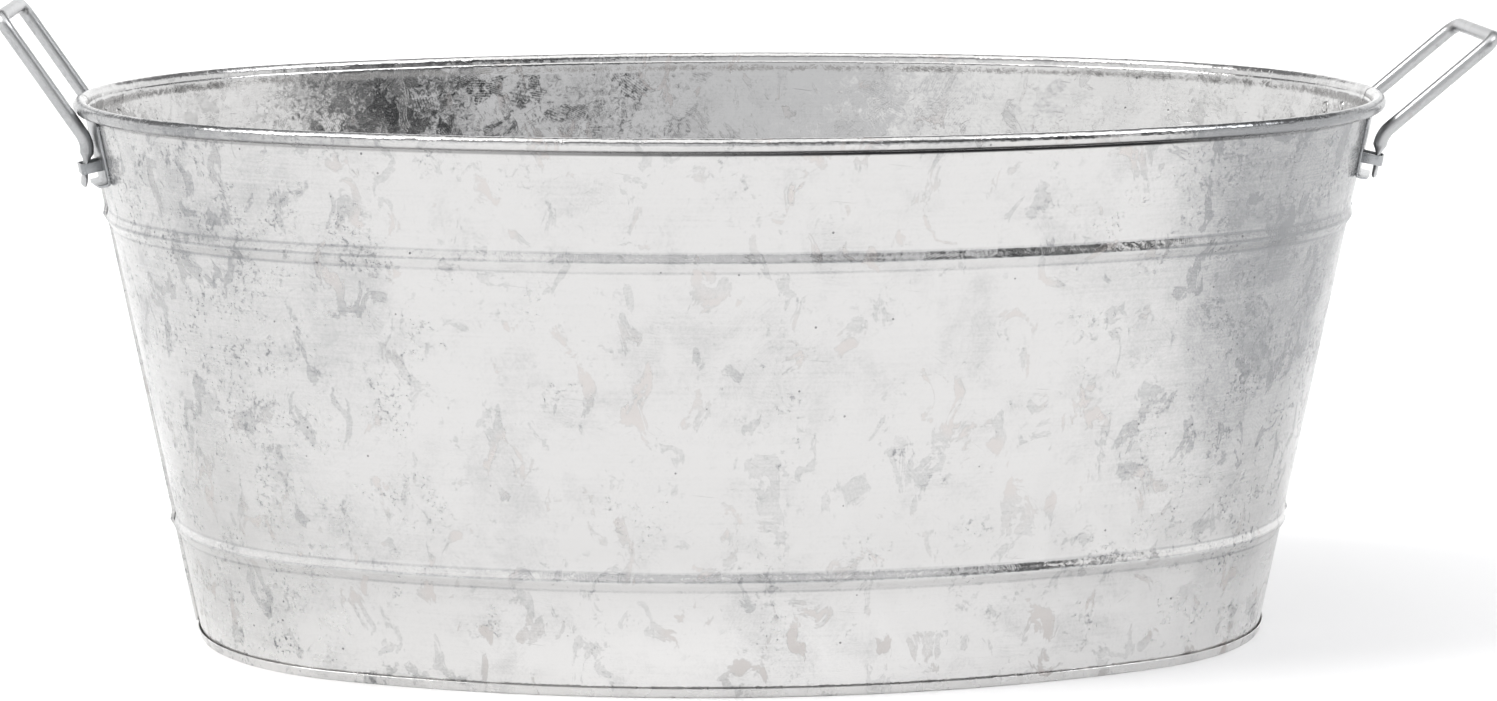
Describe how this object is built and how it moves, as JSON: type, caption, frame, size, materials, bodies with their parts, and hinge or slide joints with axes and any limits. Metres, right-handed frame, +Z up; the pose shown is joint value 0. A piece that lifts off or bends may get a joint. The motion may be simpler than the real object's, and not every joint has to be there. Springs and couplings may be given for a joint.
{
  "type": "oval galvanized tub",
  "caption": "Oval sheet-metal wash tub with flared ribbed walls, a rolled wire rim, a recessed base and a swinging rod handle at each end.",
  "frame": {"origin": "middle of the plane that the tub stands on", "axes": "+X along the tub's length towards the right handle, +Z up, +Y towards the rear wall"},
  "size_m": [0.6906, 0.4058, 0.2963],
  "materials": {
    "zinc_sheet": "hot-dip galvanized, soft spangle",
    "zinc_pan": "hot-dip galvanized, soft spangle",
    "wire_steel": "drawn steel wire",
    "zinc_rod": "dull galvanized rod",
    "zinc_ear": "galvanized pressed sheet"
  },
  "bodies": {
    "tub": {"front_shell": "zinc_sheet", "rear_shell": "zinc_sheet", "base_pan": "zinc_pan", "front_rim_wire": "wire_steel", "rear_rim_wire": "wire_steel", "left_front_ear": "zinc_ear", "left_rear_ear": "zinc_ear", "right_front_ear": "zinc_ear", "right_rear_ear": "zinc_ear"},
    "left_handle": {"left_handle": "zinc_rod"},
    "right_handle": {"right_handle": "zinc_rod"}
  },
  "joints": [
    {"name": "left_handle_swing", "type": "hinge", "parent": "tub", "child": "left_handle", "pos_m": [-0.29663, 0, 0.225], "axis": [0, -1, 0], "range_deg": [0, 15.6]},
    {"name": "right_handle_swing", "type": "hinge", "parent": "tub", "child": "right_handle", "pos_m": [0.29663, 0, 0.225], "axis": [0, 1, 0], "range_deg": [-15.6, 0]}
  ]
}
